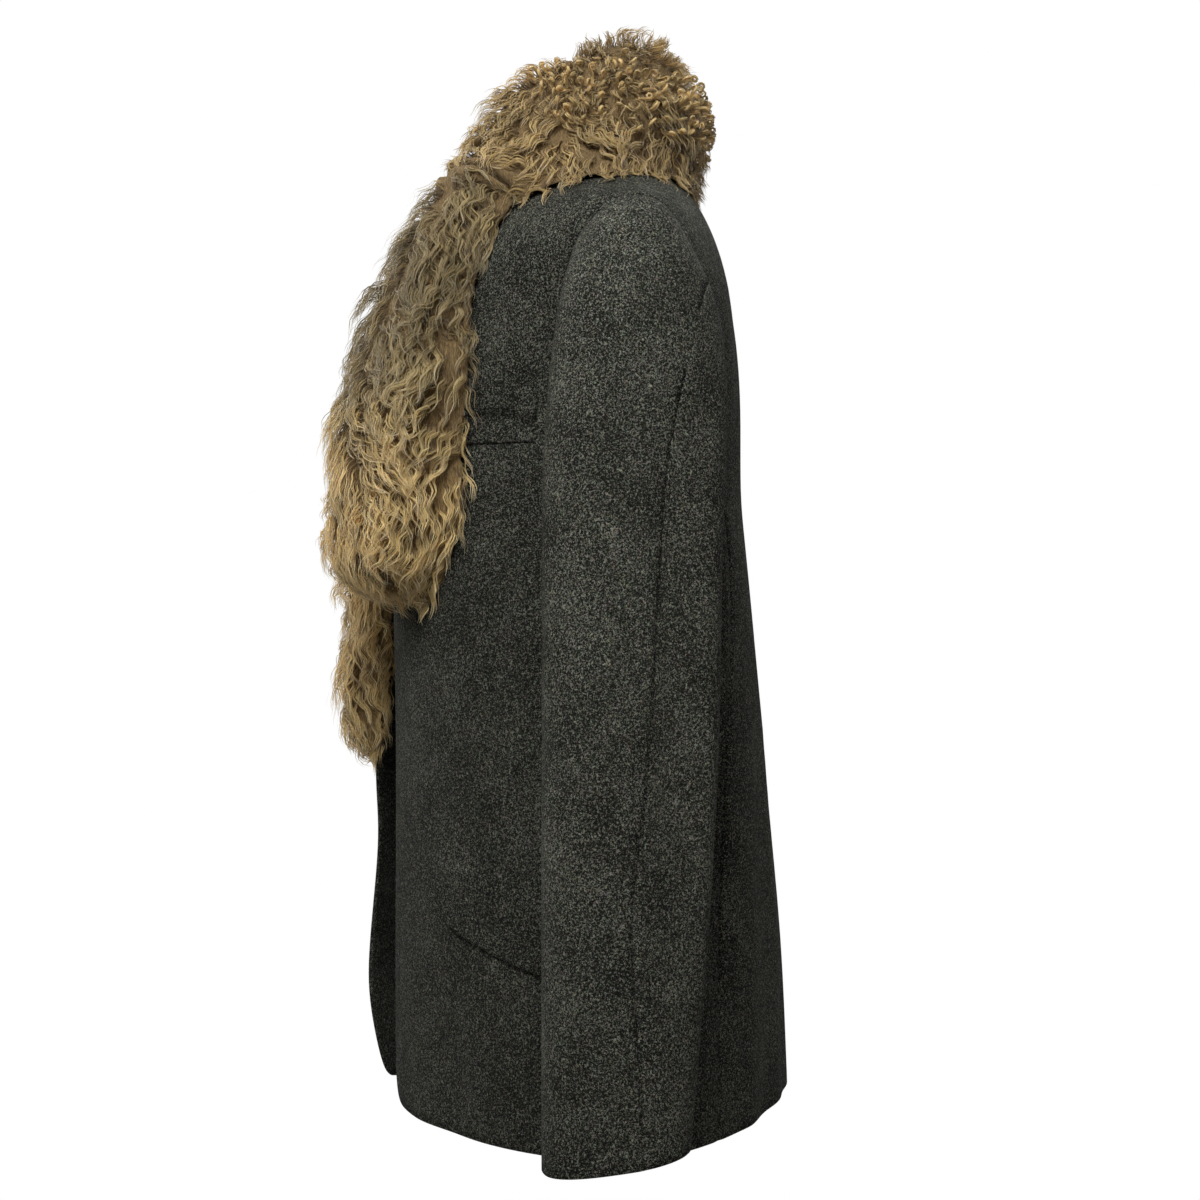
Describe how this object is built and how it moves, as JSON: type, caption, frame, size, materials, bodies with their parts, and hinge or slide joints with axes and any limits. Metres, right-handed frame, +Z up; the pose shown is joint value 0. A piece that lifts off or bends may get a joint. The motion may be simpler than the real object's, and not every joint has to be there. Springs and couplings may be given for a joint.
{
  "type": "tweed jacket with curly fur collar",
  "caption": "Open single-breasted tweed jacket in its hollow worn form, with set-in sleeves, slanted hip flaps, a breast welt and a thick curly fur collar with long hanging lapels.",
  "frame": {"origin": "middle of the neck opening, level with the neck ends of the shoulder seams, where the wearer's shoulders hold the jacket up", "axes": "+Z up, -Y to the front, +X to the wearer's left"},
  "size_m": [0.577, 0.3375, 0.764],
  "materials": {
    "tweed": "napped wool tweed, matte, charcoal with fine pale flecks",
    "fur": "curly lamb fur, soft sheen on the curls"
  },
  "bodies": {
    "root": {"front_left": "tweed", "front_right": "tweed", "side_left": "tweed", "side_right": "tweed", "back_left": "tweed", "back_right": "tweed", "sleeve_top_left": "tweed", "sleeve_top_right": "tweed", "sleeve_under_left": "tweed", "sleeve_under_right": "tweed", "pocket_flap_left": "tweed", "pocket_flap_right": "tweed", "breast_welt": "tweed", "fur_collar": "fur", "fur_lapel_left": "fur", "fur_lapel_right": "fur"}
  },
  "joints": []
}
